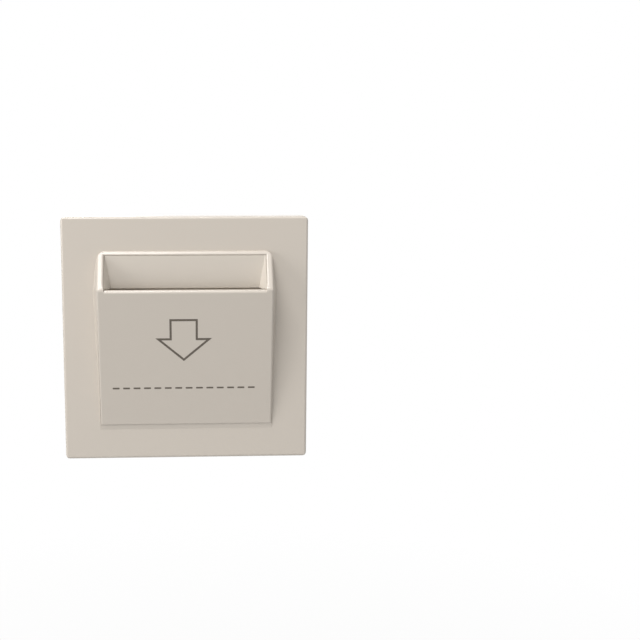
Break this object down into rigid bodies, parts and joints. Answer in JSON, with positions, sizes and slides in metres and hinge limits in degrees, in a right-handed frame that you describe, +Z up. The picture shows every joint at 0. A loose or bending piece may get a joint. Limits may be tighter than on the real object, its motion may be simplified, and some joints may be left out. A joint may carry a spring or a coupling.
{
  "type": "hotel key card switch",
  "caption": "Square wall plate with a wedge-shaped key card pocket and a round switching module behind it, which turns a room's power on while a card is in.",
  "frame": {"origin": "middle of the wall plane, centred between the two wall screw slots", "axes": "+Z up on the wall, +Y into the wall, -Y towards the user, +X to the user's right"},
  "size_m": [0.086, 0.0421, 0.0874],
  "materials": {
    "front_plastic": "glossy warm white moulding",
    "plate_plastic": "satin warm white moulding",
    "base_plastic": "satin white moulding",
    "cover_plastic": "fine matt grey white moulding",
    "brass": "plain turned brass",
    "screw_brass": "bright yellow passivated",
    "screw_steel": "zinc plated",
    "relay_steel": "nickel plated",
    "copper": "bare copper",
    "circuit_board": "solder mask",
    "black_plastic": "moulded",
    "capacitor_sleeve": "shrink sleeve",
    "film_yellow": "dipped",
    "varistor_blue": "dipped",
    "fuse_glass": "clear tube"
  },
  "bodies": {
    "wall_unit": {"mounting_plate": "plate_plastic", "antenna_board": "circuit_board", "antenna_coil": "copper", "link_header": "black_plastic", "link_pins": "brass", "module_base": "base_plastic", "module_screws": "screw_steel", "rear_cover": "cover_plastic", "bus_bars": "brass", "main_board": "circuit_board", "board_screws": "screw_steel", "relay_base": "black_plastic", "relay_coil": "copper", "relay_yoke": "relay_steel", "relay_contacts": "brass", "relay_case": "black_plastic", "power_module": "black_plastic", "smoothing_capacitor": "capacitor_sleeve", "film_capacitor": "film_yellow", "varistor": "varistor_blue", "fuse": "fuse_glass", "control_chip": "black_plastic", "terminal_block_line_in": "brass", "terminal_block_line_out": "brass", "terminal_block_neutral": "brass"},
    "front_cover": {"front_panel": "front_plastic", "card_tray": "front_plastic", "tray_screws": "screw_steel"},
    "armature": {"relay_armature": "relay_steel"},
    "clamp_line_in": {"pressure_pad_line_in": "screw_steel"},
    "screw_line_in": {"terminal_screw_line_in": "screw_brass"},
    "clamp_line_out": {"pressure_pad_line_out": "screw_steel"},
    "screw_line_out": {"terminal_screw_line_out": "screw_brass"},
    "clamp_neutral": {"pressure_pad_neutral": "screw_steel"},
    "screw_neutral": {"terminal_screw_neutral": "screw_brass"}
  },
  "joints": [
    {"name": "front_cover_pull", "type": "slide", "parent": "wall_unit", "child": "front_cover", "axis": [0, -1, 0], "range_m": [0, 0.025]},
    {"name": "armature_swing", "type": "hinge", "parent": "wall_unit", "child": "armature", "pos_m": [-0.011, 0.0187, 0.0052], "axis": [1, 0, 0], "range_deg": [0, 4], "stiffness_Nm_per_rad": 0.02, "springref_deg": -5.73},
    {"name": "clamp_line_in_travel", "type": "slide", "parent": "wall_unit", "child": "clamp_line_in", "axis": [0.6157, 0, 0.788], "range_m": [0, 0.0032]},
    {"name": "screw_line_in_turn", "type": "hinge", "parent": "clamp_line_in", "child": "screw_line_in", "pos_m": [0.0169, 0.01185, 0.0179], "axis": [0.6157, 0, 0.788], "range_deg": [0, 1646]},
    {"name": "clamp_line_out_travel", "type": "slide", "parent": "wall_unit", "child": "clamp_line_out", "axis": [0, 0, 1], "range_m": [0, 0.0032]},
    {"name": "screw_line_out_turn", "type": "hinge", "parent": "clamp_line_out", "child": "screw_line_out", "pos_m": [0, 0.01385, 0.0219], "axis": [0, 0, 1], "range_deg": [0, 1646]},
    {"name": "clamp_neutral_travel", "type": "slide", "parent": "wall_unit", "child": "clamp_neutral", "axis": [-0.6157, 0, 0.788], "range_m": [0, 0.0032]},
    {"name": "screw_neutral_turn", "type": "hinge", "parent": "clamp_neutral", "child": "screw_neutral", "pos_m": [-0.0169, 0.01185, 0.0179], "axis": [-0.6157, 0, 0.788], "range_deg": [0, 1646]}
  ],
  "couplings": [
    {"joint": "screw_line_in_turn", "follows": "clamp_line_in_travel", "rad_per_m": 8976},
    {"joint": "screw_line_out_turn", "follows": "clamp_line_out_travel", "rad_per_m": 8976},
    {"joint": "screw_neutral_turn", "follows": "clamp_neutral_travel", "rad_per_m": 8976}
  ]
}
